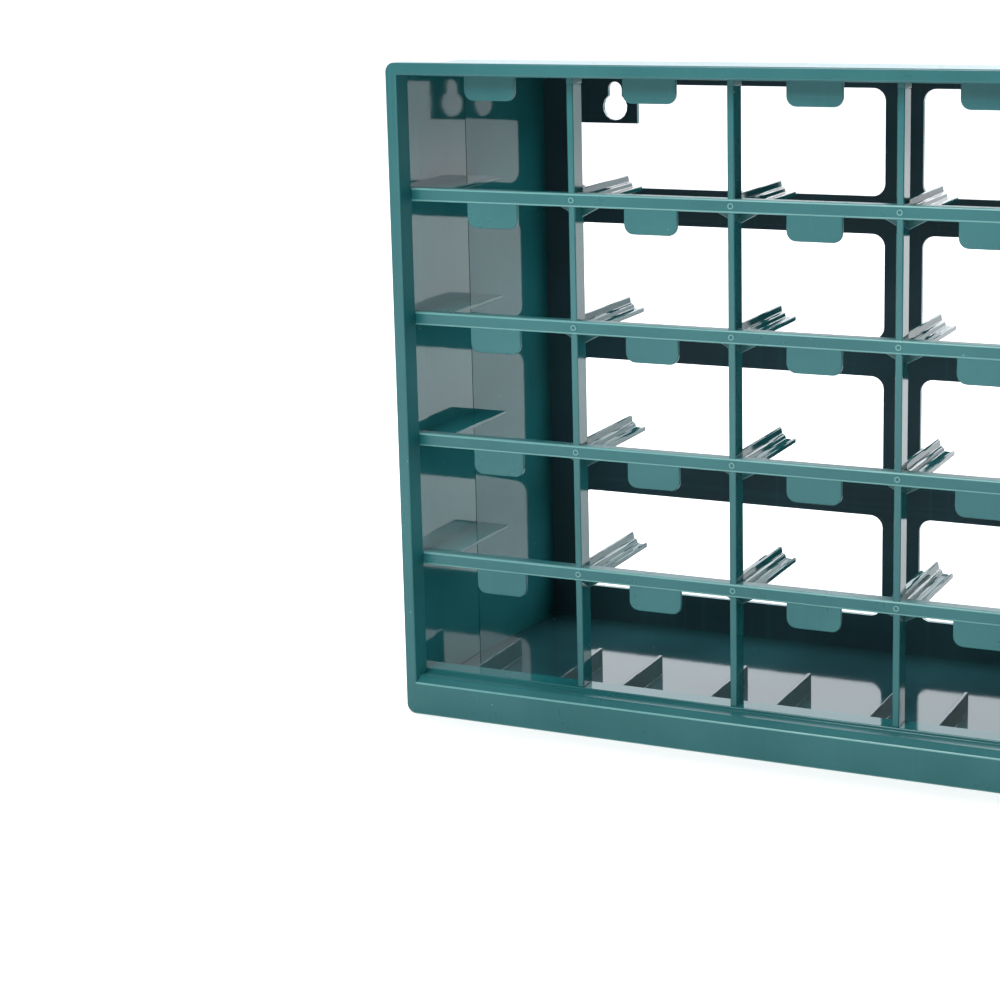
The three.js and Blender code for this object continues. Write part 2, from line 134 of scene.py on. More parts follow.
class GridSizes(bpy.types.PropertyGroup):
    rail_height: length("Rail height", "Height of a rail's front strip", 5.0)
    strip: length("Strip thickness", "Thickness of a rail's front strip", 2.0)
    shelf: length("Shelf thickness", "Thickness of a rail's top shelf", 1.8)
    land: length("Top land", "Depth of the level land along a rail's top", 4.8)
    land_start: length("Land start", "How far behind the rail's face the land starts", 0.8)
    land_drop: length("Land drop", "How far the land lies below the strip's top", 0.05)
    step: length("Top step", "Drop from the land to the back of the shelf", 1.0)
    top_strip: length("Top strip", "How far the top rail's strip stays above the dividers' ends", 1.8)
    tab_width: length("Tab width", "Width of a stop tab", 20.4)
    tab_drop: length("Tab drop", "Height of a stop tab below its rail", 9.0)
    tab_corner: length("Tab corner", "Radius of a stop tab's lower corners", 3.5)
    set_back: length("Set back", "How far tabs and dividers lie behind the rails' faces", 0.35)
    divider_width: length("Divider width", "Width of a divider's front face", 2.6)
    gusset_run: length("Gusset run", "Width of the gusset under a rail beside a divider", 12.0)
    gusset_drop: length("Gusset drop", "Height of the same gusset", 6.6)
    gusset_wall: length("Gusset wall", "Thickness of the same gusset", 1.0)
    gusset_inset: length("Gusset inset", "How far the gusset lies before the dividers' backs", 0.2)
    mark: length("Ejector mark", "Radius of the round mark at each crossing", 1.1)
    mark_rise: length("Mark rise", "How far the mark stands in front of the rail", 0.25)
    mark_dish: length("Mark dish", "Depth of the dish in the mark", 0.3)
    rail_edge: length("Rail edge", "Rounding of the rails' front strips", 0.7)
    edge: length("Edge round", "Rounding of tabs, shelves and dividers", 0.35)


class RunnerSizes(bpy.types.PropertyGroup):
    rim: length("Rim", "Width of the raised rim along the flange", 0.8)
    slope: length("Slope", "Width of the slope inside that rim", 0.6)
    root: length("Root", "Half the root's width where it leaves the flange", 2.4)
    step: length("Step", "Half the root's width at its top", 1.9)
    fin_foot: length("Fin foot", "Half the fin's width at its foot", 0.9)
    fin: length("Fin", "Half the fin's width at its top", 0.55)


class ClearSizes(bpy.types.PropertyGroup):
    wall: length("Drawer wall", "Wall thickness of a drawer", 1.2)
    panel: length("Front thickness", "Thickness of a drawer's front", 2.0)
    panel_rise: length("Front rise", "Height of the front above the box's underside", 40.5)
    border: length("Front border", "Width of the raised border round the front", 1.6)
    recess: length("Front recess", "Depth of the field inside that border", 0.5)
    root: length("Root", "How far the label frame and the pull start behind the border's face", 0.6)
    height: length("Side height", "Height of a drawer's sides above the rail", 36.0)
    half_width: length("Half width", "Half the width of a drawer's box", 28.0)
    label_width: length("Label width", "Width of the label holder's frame", 42.0)
    label_height: length("Label height", "Height of the label holder's frame", 13.0)
    label_drop: length("Label drop", "How far the label frame lies below the front's top", 14.0)
    label_bar: length("Label bar", "Width of the label frame's bars", 1.3)
    label_rise: length("Label rise", "Depth of the label frame's bars", 1.5)
    pull_width: length("Pull width", "Width of the finger pull", 24.0)
    pull_height: length("Pull height", "Height of the pull above the box's underside", 10.0)
    pull_corner: length("Pull corner", "Radius of the pull's outer corners", 2.5)
    pull_wall: length("Pull wall", "Thickness of the pull", 1.5)
    pull_drop: length("Pull drop", "How far the pull's lip hangs down", 2.5)
    pull_lip: length("Pull lip", "Thickness of that lip", 1.3)
    rib: length("Rib", "Depth of the ribs that hold a cross partition", 0.8)
    rib_half: length("Rib half width", "Half the width of such a rib", 0.4)
    rib_offset: length("Rib offset", "Distance of a rib from the middle of its slot", 1.4)
    rib_drop: length("Rib drop", "How far the ribs stop below the box's rim", 3.0)


class PlasticLook(bpy.types.PropertyGroup):
    teal: colour("Teal", "Main colour of the mouldings", (0.007, 0.078, 0.084))
    teal_pale: colour("Pale teal", "Flow marks and rubbed areas", (0.022, 0.125, 0.130))
    # Painted highlight: a pale teal put on rounded edges and ejector marks for the light they catch.
    highlighted: colour("Highlight teal", "Rounded front edges and ejector marks", (0.115, 0.27, 0.265))
    # Painted shade: a dark teal mixed into inner surfaces for the shade that falls inside the case.
    shade: colour("Shade teal", "Shaded inside of the case", (0.013, 0.030, 0.038))
    clear: colour("Clear", "Tint of the drawers", (0.93, 0.965, 0.97))
    floor: colour("Floor", "Colour of the floor", (0.92, 0.92, 0.91))


class StageSizes(bpy.types.PropertyGroup):
    eye: bpy.props.FloatVectorProperty(
        name="Eye",
        description="Where the camera stands",
        default=(0.2602, -0.8095, 0.2998),
        unit="LENGTH",
    )
    turn: bpy.props.FloatProperty(
        name="Turn",
        description="Camera's turn to the left of +Y",
        default=math.radians(24.22),
        subtype="ANGLE",
    )
    tilt: bpy.props.FloatProperty(
        name="Tilt",
        description="Camera's tilt above the level",
        default=math.radians(-11.76),
        subtype="ANGLE",
    )
    roll: bpy.props.FloatProperty(
        name="Roll",
        description="Camera's roll",
        default=math.radians(-0.99),
        subtype="ANGLE",
    )
    lens: bpy.props.FloatProperty(name="Lens", description="Focal length in millimetres", default=84.5)
    shift: bpy.props.FloatProperty(name="Shift", description="Camera's shift on both axes", default=-0.1)


# ---- Shader maths -----------------------------------------------------------------------------------


class Signal:
    """A socket that can stand in arithmetic; each expression adds its Math nodes."""

    def __init__(self, tree, socket):
        self.tree = tree
        self.socket = socket

    def _math(self, operation, first, second=None):
        node = self.tree.nodes.new("ShaderNodeMath")
        node.operation = operation
        for socket, value in zip(node.inputs, (first, second)):
            if value is not None:
                plug(self.tree, socket, value)
        return Signal(self.tree, node.outputs[0])

    def __add__(self, other):
        return self._math("ADD", self, other)

    __radd__ = __add__

    def __sub__(self, other):
        return self._math("SUBTRACT", self, other)

    def __rsub__(self, other):
        return self._math("SUBTRACT", other, self)

    def __mul__(self, other):
        return self._math("MULTIPLY", self, other)

    def __lt__(self, other):
        return self._math("LESS_THAN", self, other)

    def smooth(self, low, high):
        node = self.tree.nodes.new("ShaderNodeMapRange")
        node.interpolation_type = "SMOOTHSTEP"
        plug(self.tree, node.inputs["Value"], self)
        node.inputs["From Min"].default_value = low
        node.inputs["From Max"].default_value = high
        return Signal(self.tree, node.outputs["Result"])


def plug(tree, socket, value):
    if isinstance(value, Signal):
        tree.links.new(value.socket, socket)
    else:
        socket.default_value = value


class Recipe:
    """A new material and the one way its nodes are made."""

    def __init__(self, name):
        self.material = bpy.data.materials.new(name)
        self.material.use_nodes = True
        self.tree = self.material.node_tree
        self.shader = self.tree.nodes["Principled BSDF"]

    def node(self, kind, settings=None, output=0, **inputs):
        made = self.tree.nodes.new(kind)
        for key, value in (settings or {}).items():
            setattr(made, key, value)
        for key, value in inputs.items():
            plug(self.tree, made.inputs[key.replace("_", " ")], value)
        return Signal(self.tree, made.outputs[output])

    def place(self, scale=(1, 1, 1)):
        coordinates = self.node("ShaderNodeTexCoord", output="Object")
        return self.node("ShaderNodeMapping", Vector=coordinates, Scale=scale)

    def noise(self, place, scale, detail=2.0, roughness=0.5):
        return self.node(
            "ShaderNodeTexNoise", Vector=place, Scale=scale, Detail=detail, Roughness=roughness
        )

    def blend(self, factor, first, second):
        mix = self.tree.nodes.new("ShaderNodeMix")
        mix.data_type = "RGBA"
        plug(self.tree, mix.inputs["Factor"], factor)
        plug(self.tree, mix.inputs["A"], colour_value(first))
        plug(self.tree, mix.inputs["B"], colour_value(second))
        return Signal(self.tree, mix.outputs["Result"])

    def set(self, **values):
        for key, value in values.items():
            plug(self.tree, self.shader.inputs[key.replace("_", " ")], value)


def colour_value(value):
    return value if isinstance(value, Signal) else (*value, 1.0)


def teal_plastic(name, gloss, rub, highlighted=0.0, painted_shade=0.0, bend=1.42, speck=(0.006, 0.02, 0.02)):
    """Coloured moulding: flow marks, fine rubbing, orange peel and a few pits, with a painted highlight
    and painted shade where asked.
    """
    look = bpy.context.scene.cabinet_plastic
    mix = Recipe(name)
    place = mix.place()
    flow = mix.noise(place, 16.0, 3.0, 0.55).smooth(0.35, 0.7)
    cloud = mix.noise(place, 70.0, 4.0, 0.6)
    streak_up = mix.noise(mix.place((420, 420, 9)), 1.0, 2.0).smooth(0.58, 0.72)
    streak_along = mix.noise(mix.place((7, 420, 420)), 1.0, 2.0).smooth(0.62, 0.76)
    pits = mix.node("ShaderNodeTexVoronoi", Vector=place, Scale=95.0) < 0.036
    rubbed = (streak_up + streak_along) * rub
    body = mix.blend(flow * 0.4 + cloud * 0.12, look.teal, look.teal_pale)
    # Painted highlight: pale colour on rounded edges, standing in for the light they catch.
    if highlighted > 0:
        body = mix.blend(highlighted - cloud * 0.4, body, look.highlighted)
    # Painted shade: colour darkened towards the shade teal for surfaces far inside the case.
    if painted_shade > 0:
        body = mix.blend(painted_shade - flow * 0.15, body, look.shade)
    rubbed_body = mix.blend(rubbed * 0.35, body, look.teal_pale)
    mix.set(Base_Color=mix.blend(pits * 0.55, rubbed_body, speck))
    mix.set(Roughness=gloss + cloud * 0.04 + rubbed * 0.22 + pits * 0.3)
    peel = mix.noise(place, 260.0, 2.0) * 0.12 + mix.noise(place, 34.0, 2.0) * 0.25 - pits * 0.25
    mix.set(Normal=mix.node("ShaderNodeBump", Strength=0.2, Distance=0.0004, Height=peel))
    mix.set(IOR=bend)
    return mix.material


def clear_plastic(name):
    """Clear polystyrene: faint ripples from the mould and light handling marks."""
    look = bpy.context.scene.cabinet_plastic
    mix = Recipe(name)
    place = mix.place()
    ripple = mix.noise(place, 40.0, 2.0)
    marks = mix.noise(mix.place((300, 12, 300)), 1.0, 3.0).smooth(0.6, 0.75)
    mix.set(Base_Color=mix.blend(ripple * 0.3, look.clear, (0.86, 0.93, 0.94)))
    mix.set(Roughness=0.045 + ripple * 0.03 + marks * 0.10)
    mix.set(Normal=mix.node("ShaderNodeBump", Strength=0.12, Distance=0.0004, Height=ripple))
    mix.set(Transmission_Weight=0.92, IOR=1.5)
    return mix.material


def floor_paint(name):
    """Matt pale sheet with a barely visible tooth."""
    look = bpy.context.scene.cabinet_plastic
    mix = Recipe(name)
    place = mix.place()
    tooth = mix.noise(place, 60.0, 4.0)
    mix.set(Base_Color=mix.blend(tooth * 0.2, look.floor, (0.88, 0.88, 0.875)))
    mix.set(Roughness=0.62 + tooth * 0.1)
    return mix.material


FINISHES = {
    "glossy": {"gloss": 0.035, "rub": 0.16},
    "satin": {"gloss": 0.26, "rub": 0.45, "speck": (0.10, 0.26, 0.26)},
    # Rough, with painted shade half mixed in.
    "matt_painted_shade": {"gloss": 0.55, "rub": 0.2, "painted_shade": 0.5},
    # Pale painted highlight for rounded edges, on a rubbed, rougher surface.
    "highlighted": {"gloss": 0.30, "rub": 0.5, "highlighted": 1.0},
    # Glossy, with painted shade for the floors inside.
    "painted_shade": {"gloss": 0.05, "rub": 0.2, "painted_shade": 0.75, "bend": 1.52},
    "inner": {"gloss": 0.35, "rub": 0.2, "bend": 1.1},
    # Low gloss, fully in painted shade, for the inside of the back.
    "dull_painted_shade": {"gloss": 0.30, "rub": 0.2, "painted_shade": 1.0, "bend": 1.15},
}


def finish_named(name, maker, **options):
    return bpy.data.materials.get(name) or maker(name, **options)


def teal(kind="glossy"):
    """One of the moulding's finishes, from polished walls to the low-gloss inside of the back; some
    paint highlights and some paint shade into the colour.
    """
    return finish_named(f"teal_{kind}", teal_plastic, **FINISHES[kind])


# ---- Mesh helpers -----------------------------------------------------------------------------------


def block(bm, low, high, edge=0.0, segments=2, paint=None):
    """A box between two corners, its edges rounded if asked."""
    part = bmesh.new()
    size = Vector(high) - Vector(low)
    middle = (Vector(high) + Vector(low)) / 2
    bmesh.ops.create_cube(part, size=1.0, matrix=Matrix.LocRotScale(middle, None, size))
    absorb(bm, part, edge, segments, paint)


def draw_out(bm, face, travel, keep=True):
    """Draws a flat face along a vector; a lone face that is kept becomes a closed solid."""
    made = bmesh.ops.extrude_face_region(bm, geom=[face], use_keep_orig=keep)
    moved = [item for item in made["geom"] if isinstance(item, bmesh.types.BMVert)]
    bmesh.ops.translate(bm, verts=moved, vec=Vector(travel))


def hollow(part, face, border, travel, even=False):
    """Pushes the middle of a face in and leaves a border of the given width."""
    bmesh.ops.inset_region(part, faces=[face], thickness=border, use_even_offset=even)
    draw_out(part, face, travel, keep=False)
    if face.is_valid:
        bmesh.ops.delete(part, geom=[face], context="FACES_ONLY")


def prism(bm, points, travel, corners=(), radius=0.0, segments=5, edge=0.0, paint=None):
    """A closed solid with the given outline, rounded where asked, drawn along a vector."""
    part = bmesh.new()
    verts = [part.verts.new(point) for point in points]
    part.faces.new(verts)
    if corners:
        bmesh.ops.bevel(
            part,
            geom=[verts[i] for i in corners],
            offset=radius,
            segments=segments,
            profile=0.5,
            affect="VERTICES",
            material=-1,
        )
    draw_out(part, part.faces[:][0], travel)
    absorb(bm, part, edge, 2, paint)


def absorb(bm, part, edge=0.0, segments=2, paint=None):
    """Adds one closed mesh to another, its edges rounded if asked, and frees it."""
    bmesh.ops.recalc_face_normals(part, faces=part.faces[:])
    if edge > 0:
        round_edges(part, edge, segments, paint)
    carrier = bpy.data.meshes.new("carrier")
    part.to_mesh(carrier)
    part.free()
    bm.from_mesh(carrier)
    bpy.data.meshes.remove(carrier)


def cad_copy(node):
    """A merged copy of a CAD node, with its flat faces joined up."""
    part = bmesh.new()
    part.from_mesh(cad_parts[node].data)
    bmesh.ops.remove_doubles(part, verts=part.verts[:], dist=TOUCH)
    bmesh.ops.dissolve_limit(
        part, angle_limit=math.radians(0.5), verts=part.verts[:], edges=part.edges[:]
    )
    return part


def reach(part, axis, beyond, distance):
    """Moves the vertices past a place along an axis, so that neighbouring shells meet."""
    picked = [v for v in part.verts if (v.co[axis] - beyond) * distance > 0]
    travel = Vector((0, 0, 0))
    travel[axis] = distance
    bmesh.ops.translate(part, verts=picked, vec=travel)


def lower(part, level, distance):
    """Lowers the vertices that lie on a level, so that two overlapping floors do not share a plane."""
    for vert in part.verts:
        if abs(vert.co.z - level) < TOUCH:
            vert.co.z -= distance


def round_edges(bm, width, segments, paint=None):
    """Rounds every sharp edge; flat faces stay flat and only the rounds are shaded smooth."""
    sharp = [e for e in bm.edges if e.is_manifold and e.calc_face_angle() > SHARP]
    made = bmesh.ops.bevel(
        bm,
        geom=sharp,
        offset=width,
        segments=segments,
        profile=0.5,
        affect="EDGES",
        clamp_overlap=True,
        material=-1,
    )
    for face in made["faces"]:
        face.smooth = True
        if paint is not None:
            face.material_index = paint


def make_piece(name, bm, finishes, nodes, body="cabinet", edge=0.0):
    """A finished piece standing for its CAD nodes, with its edges rounded if asked."""
    if edge > 0:
        bmesh.ops.recalc_face_normals(bm, faces=bm.faces[:])
        round_edges(bm, edge, 2)
    mesh = bpy.data.meshes.new(name)
    bm.to_mesh(mesh)
    bm.free()
    for finish in finishes:
        mesh.materials.append(finish)
    piece = bpy.data.objects.new(name, mesh)
    bpy.context.scene.collection.objects.link(piece)
    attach(piece, body)
    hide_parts(*nodes)
    return piece


# ---- Collar -----------------------------------------------------------------------------------------


def collar_arch(bm, sizes):
    """The collar's two sides and top: an arch with rounded outer corners, standing on the base."""
    front, back = CAD_LOW.y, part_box("rim_top")[1].y + SINK
    half, top = CAD_HIGH.x, CAD_HIGH.z
    inner_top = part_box("rim_top")[0].z
    points = [
        (-half, front, 0),
        (-half, front, top),
        (half, front, top),
        (half, front, 0),
        (CELL_EDGE, front, 0),
        (CELL_EDGE, front, inner_top),
        (-CELL_EDGE, front, inner_top),
        (-CELL_EDGE, front, 0),
    ]
    part = bmesh.new()
    prism(part, points, (0, back - front, 0), (0, 1, 2, 3), sizes.corner, 7)
    for vert in part.verts:
        side = math.copysign(1, vert.co.x)
        at_reveal = abs(abs(vert.co.x) - CELL_EDGE) < TOUCH
        if at_reveal and vert.co.y > front + MM:
            vert.co.x -= side * sizes.draft
    for face in part.faces:
        middle = face.calc_center_median()
        reveal = abs(middle.x) < CELL_EDGE + MM and abs(face.normal.x) > FACING
        face.material_index = 1 if reveal else 0
    absorb(bm, part, sizes.edge, 3)


def collar_ledge(bm, sizes):
    """The lower bar: base flange, tall face, bevel and ledge, then the sill of the grid."""
    front, wall = CAD_LOW.y, sizes.wall
    ledge, face_top = sizes.ledge_height, sizes.ledge_height - sizes.bevel_height
    run = front + sizes.bevel_run
    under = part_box("rear_floor")[1].z - wall
    section = [
        (front, 0),
        (front, face_top),
        (run, ledge),
        (GRID_Y, ledge),
        (GRID_Y, SILL_TOP),
        (BAR_BACK, SILL_TOP),
        (BAR_BACK, under),
        (BAR_BACK - wall, under),
        (BAR_BACK - wall, SILL_TOP - wall),
        (GRID_Y + wall, SILL_TOP - wall),
        (GRID_Y + wall, ledge - wall),
        (run + 0.4 * wall, ledge - wall),
        (front + wall, face_top - 0.5 * wall),
        (front + wall, wall),
        (front + sizes.base_flange, wall),
        (front + sizes.base_flange, 0),
    ]
    half = CAD_HIGH.x - sizes.corner
    part = bmesh.new()
    # Rounded edges get the painted highlight colour; those at the ledge are set back to plain satin
    # below.
    prism(part, [(-half, y, z) for y, z in section], (2 * half, 0, 0), edge=sizes.lip, paint=2)
    for face in part.faces:
        height = face.calc_center_median().z
        if face.material_index == 2 and height > ledge - sizes.highlight_line:
            face.material_index = 0
        if face.normal.z > FACING and height > SILL_TOP - TOUCH:
            face.material_index = 3
    absorb(bm, part)


class CABINET_OT_collar(bpy.types.Operator):
    """Collar round the front edge, with the ledge and the sill that the grid stands on"""

    bl_idname = "cabinet.collar"
    bl_label = "Collar"

    def execute(self, context):
        sizes = context.scene.cabinet_collar
        bm = bmesh.new()
        collar_arch(bm, sizes)
        collar_ledge(bm, sizes)
        nodes = ["rim_top", "rim_bottom", "rim_left", "rim_right"]
        make_piece("collar", bm, [teal("satin"), teal("inner"), teal("highlighted"), teal()], nodes)
        return {"FINISHED"}


# ---- Rails and dividers -----------------------------------------------------------------------------


def tab(bm, centre, top, bottom, sizes):
    """A stop tab with rounded lower corners."""
    half = sizes.tab_width / 2
    y = GRID_Y + sizes.set_back
    points = [
        (centre - half, y, top),
        (centre - half, y, bottom),
        (centre + half, y, bottom),
        (centre + half, y, top),
    ]
    prism(bm, points, (0, sizes.strip - sizes.set_back, 0), (1, 2), sizes.tab_corner, 6, sizes.edge)


def gusset(bm, x, z, side, sizes):
    """Thin three-cornered web between a divider's side and a rail's underside."""
    back = BAR_BACK - sizes.gusset_inset
    front = back - sizes.gusset_wall
    points = [
        (x - side * SINK, front, z + SINK),
        (x + side * sizes.gusset_run, front, z + SINK),
        (x + side * sizes.gusset_run, front, z),
        (x - side * SINK, front, z - sizes.gusset_drop),
    ]
    # Its rounded edges get the pale colour of a painted highlight.
    prism(bm, points, (0, sizes.gusset_wall, 0), edge=WEB_EDGE, paint=1)


def ejector_mark(bm, x, z, sizes):
    """A low ring left by an ejector pin, painted with a pale highlight."""
    ring_share = 0.38
    part = bmesh.new()
    turn = Matrix.Translation((x, GRID_Y - sizes.mark_rise, z)) @ Matrix.Rotation(math.pi / 2, 4, "X")
    made = bmesh.ops.create_circle(part, cap_ends=True, radius=sizes.mark, segments=16, matrix=turn)
    draw_out(part, made["verts"][0].link_faces[0], (0, MM, 0))
    cap = min(part.faces, key=lambda f: f.calc_center_median().y)
    hollow(part, cap, sizes.mark * ring_share, (0, sizes.mark_dish, 0))
    # The whole ring takes the pale colour of a painted highlight, for the light it catches.
    for face in part.faces:
        face.material_index = 1
    absorb(bm, part)


class CABINET_OT_rails(bpy.types.Operator):
    """Rails with their front strips, top shelves, stop tabs and ejector marks"""

    bl_idname = "cabinet.rails"
    bl_label = "Rails"

    def execute(self, context):
        sizes = context.scene.cabinet_grid
        for row, top in enumerate(RAIL_TOPS, start=1):
            bm = bmesh.new()
            end = CELL_EDGE + SINK
            bottom = top - sizes.rail_height
            under = top - sizes.shelf - sizes.step
            # The front strip's rounded edges get the pale colour of a painted highlight.
            block(bm, (-end, GRID_Y, bottom), (end, GRID_Y + sizes.strip, top), sizes.rail_edge, 4, 1)
            low = (-end, GRID_Y + sizes.land_start, top - sizes.shelf)
            block(bm, low, (end, GRID_Y + sizes.land, top - sizes.land_drop), sizes.edge)
            block(bm, (-end, GRID_Y + MM, under), (end, BAR_BACK, top - sizes.step), sizes.edge)
            for centre in STOP_CENTRES:
                tab(bm, centre, bottom + SINK, bottom - sizes.tab_drop, sizes)
            for centre in DIVIDER_CENTRES:
                ejector_mark(bm, centre, top - sizes.rail_height / 2, sizes)
                for side in (-1, 1):
                    gusset(bm, centre + side * sizes.divider_width / 2, under, side, sizes)
            make_piece(f"rail_{row}_moulded", bm, [teal("satin"), teal("highlighted")], [f"rail_{row}"])
        return {"FINISHED"}


class CABINET_OT_dividers(bpy.types.Operator):
    """Upright dividers between the columns"""

    bl_idname = "cabinet.dividers"
    bl_label = "Dividers"

    def execute(self, context):
        sizes = context.scene.cabinet_grid
        for index, centre in enumerate(DIVIDER_CENTRES, start=1):
            bm = bmesh.new()
            node = f"divider_{index}"
            low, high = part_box(node)
            half = sizes.divider_width / 2
            back_half = half * 0.8
            front = GRID_Y + sizes.set_back
            foot = low.z - SINK
            points = [
                (centre - half, front, foot),
                (centre + half, front, foot),
                (centre + back_half, BAR_BACK, foot),
                (centre - back_half, BAR_BACK, foot),
            ]
            prism(bm, points, (0, 0, high.z - low.z + 2 * SINK), edge=sizes.edge)
            make_piece(f"{node}_moulded", bm, [teal()], [node])
        return {"FINISHED"}


# ---- Runners and wall shelves -----------------------------------------------------------------------

# Heights in the runner's section as shares of the whole: rim, dish, root's foot, root's top, fin's foot
RUNNER_LEVELS = (0.32, 0.22, 0.25, 0.52, 0.58)


class CABINET_OT_runners(bpy.types.Operator):
    """Cantilever runners behind each crossing: flange, stepped root and fin"""

    bl_idname = "cabinet.runners"
    bl_label = "Runners"

    def execute(self, context):
        sizes = context.scene.cabinet_runner
        for row in range(1, ROWS):
            for index, centre in enumerate(DIVIDER_CENTRES, start=1):
                node = f"runner_{row}_{index}"
                low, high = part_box(node)
                bm = bmesh.new()
                self.shape(bm, centre, low, high, sizes)
                make_piece(f"{node}_moulded", bm, [teal()], [node], edge=WEB_EDGE)
        return {"FINISHED"}

    def shape(self, bm, centre, low, high, sizes):
        """Flange with raised rims, two steps up to the fin, all reaching into the grid."""
        half = (high.x - low.x) / 2
        rim, dish, root, step, fin = (share * (high.z - low.z) for share in RUNNER_LEVELS)
        right = [
            (half, 0),
            (half, rim),
            (half - sizes.rim, rim),
            (half - sizes.rim - sizes.slope, dish),
            (sizes.root, root),
            (sizes.step, step),
            (sizes.fin_foot, fin),
            (sizes.fin, high.z - low.z),
        ]
        left = [(-x, z) for x, z in reversed(right)]
        start = BAR_BACK - SINK
        points = [(centre + x, start, low.z + z) for x, z in right + left]
        prism(bm, points, (0, high.y - start, 0))


class CABINET_OT_shelves(bpy.types.Operator):
    """Shelves on the side walls that carry the outer drawers"""

    bl_idname = "cabinet.shelves"
    bl_label = "Wall shelves"

    def execute(self, context):
        for row in range(1, ROWS):
            for side in ("left", "right"):
                node = f"{side}_shelf_{row}"
                low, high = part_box(node)
                bm = bmesh.new()
                inward = 1 if side == "left" else -1
                wall = low.x - 2 * SINK if inward > 0 else high.x + 2 * SINK
                lip = high.x if inward > 0 else low.x
                points = [
                    (wall, low.y - SINK, low.z),
                    (lip, low.y - SINK, low.z),
                    (lip, high.y, low.z),
                    (wall, high.y, low.z),
                ]
                prism(bm, points, (0, 0, high.z - low.z))
                make_piece(f"{node}_moulded", bm, [teal()], [node], edge=WALL_EDGE)
        return {"FINISHED"}


# ---- Shell ------------------------------------------------------------------------------------------


class CABINET_OT_front_shell(bpy.types.Operator):
    """Front half of the shell: top with its tabs, side walls with their stiles, floor with its fins"""

    bl_idname = "cabinet.front_shell"
    bl_label = "Front shell"

    def execute(self, context):
        sizes = context.scene.cabinet_grid
        for side in ("left", "right"):
            node = f"front_{side}_wall"
            part = cad_copy(node)
            reach(part, 2, MID_HEIGHT, SINK + sizes.top_strip)
            reach(part, 2, MID_HEIGHT, -SINK)
            make_piece(f"{node}_moulded", part, [teal()], [node], edge=WALL_EDGE)
        part = cad_copy("front_floor")
        reach(part, 1, BAR_BACK + MM, -SINK)
        reach(part, 1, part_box("front_floor")[1].y - MM, 2 * SINK)
        floor_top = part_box("rear_floor")[1].z
        # Painted shade: the floor takes a darkened glossy colour and its upright fins a rough,
        # half-darkened one, for the shade inside the case.
        for face in part.faces:
            upright = abs(face.normal.x) > FACING and face.calc_center_median().z > floor_top
            face.material_index = 1 if upright else 0
        finishes = [teal("painted_shade"), teal("matt_painted_shade")]
        make_piece("front_floor_moulded", part, finishes, ["front_floor"], edge=WALL_EDGE)
        self.top(sizes)
        return {"FINISHED"}

    def top(self, sizes):
        """Top plate and strip with its tabs, carried on blocks over the dividers' ends."""
        low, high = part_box("front_top")
        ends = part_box("divider_1")[1].z
        under = ends + sizes.top_strip
        bm = bmesh.new()
        block(bm, (low.x, GRID_Y, under), (high.x, GRID_Y + sizes.strip, high.z), sizes.edge)
        block(bm, (low.x, GRID_Y + MM, under), (high.x, high.y, high.z), sizes.edge)
        half = sizes.divider_width / 2
        for centre in DIVIDER_CENTRES:
            foot = (centre - half, GRID_Y + sizes.set_back, ends - SINK)
            block(bm, foot, (centre + half, BAR_BACK, under + SINK), sizes.edge)
        for centre in STOP_CENTRES:
            tab(bm, centre, under + SINK, low.z, sizes)
        make_piece("front_top_moulded", bm, [teal("satin")], ["front_top"])


class CABINET_OT_rear_case(bpy.types.Operator):
    """Rear case: lapped walls, top, floor with feet, and the windowed back with its keyholes"""

    bl_idname = "cabinet.rear_case"
    bl_label = "Rear case"

    def execute(self, context):
        nodes = ["rear_left_wall", "rear_right_wall", "rear_top", "rear_floor", "back_panel"]
        bm = bmesh.new()
        for node in nodes:
            part = cad_copy(node)
            if node != "back_panel":
                reach(part, 1, REAR_END, SINK)
            if node == "rear_floor":
                lower(part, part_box(node)[1].z, FLOOR_DROP)
            if "wall" in node:
                reach(part, 2, MID_HEIGHT, SINK)
                reach(part, 2, MID_HEIGHT, -SINK)
            # Painted shade: the back panel's inside faces and the floor's top take darkened colours for
            # the shade inside the case.
            for face in part.faces:
                if node == "back_panel" and face.normal.y < -FACING:
                    face.material_index = 1
                if node == "rear_floor" and face.normal.z > FACING:
                    face.material_index = 2
            absorb(bm, part)
        make_piece("rear_case", bm, [teal(), teal("dull_painted_shade"), teal("painted_shade")], nodes, edge=CASE_EDGE)
        return {"FINISHED"}


# ---- Drawers ----------------------------------------------------------------------------------------

PARTITION_SHARES = (0.36, 0.66)  # places of the partition slots along a drawer


def drawer_mesh(node, sizes):
    """Open box, front with a framed label field, finger pull, and slots for a cross partition."""
    low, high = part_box(node)
    centre = (low.x + high.x) / 2
    base = high.z - sizes.panel_rise
    rim = base + sizes.height - GAP
    panel_back = GRID_Y - GAP
    panel_front = panel_back - sizes.panel
    bm = bmesh.new()
    tray = bmesh.new()
    half = sizes.half_width
    block(tray, (centre - half, panel_back - sizes.panel / 2, base), (centre + half, high.y, rim))
    lid = max(tray.faces, key=lambda f: f.calc_center_median().z)
    hollow(tray, lid, sizes.wall, (0, 0, sizes.wall - (rim - base)), even=True)
    absorb(bm, tray)
    panel = bmesh.new()
    block(panel, (low.x, panel_front, low.z), (high.x, panel_back, high.z))
    front = min(panel.faces, key=lambda f: f.calc_center_median().y)
    bmesh.ops.inset_region(panel, faces=[front], thickness=sizes.border, depth=-sizes.recess)
    absorb(bm, panel)
    root = panel_front + sizes.root
    label_frame(bm, centre, root, high.z - sizes.label_drop, sizes)
    pull(bm, centre, root, base + sizes.pull_height, low.y, sizes)
    for share in PARTITION_SHARES:
        y = panel_back + (high.y - panel_back) * share
        partition_ribs(bm, centre, y, base + sizes.wall, rim, sizes)
    return bm


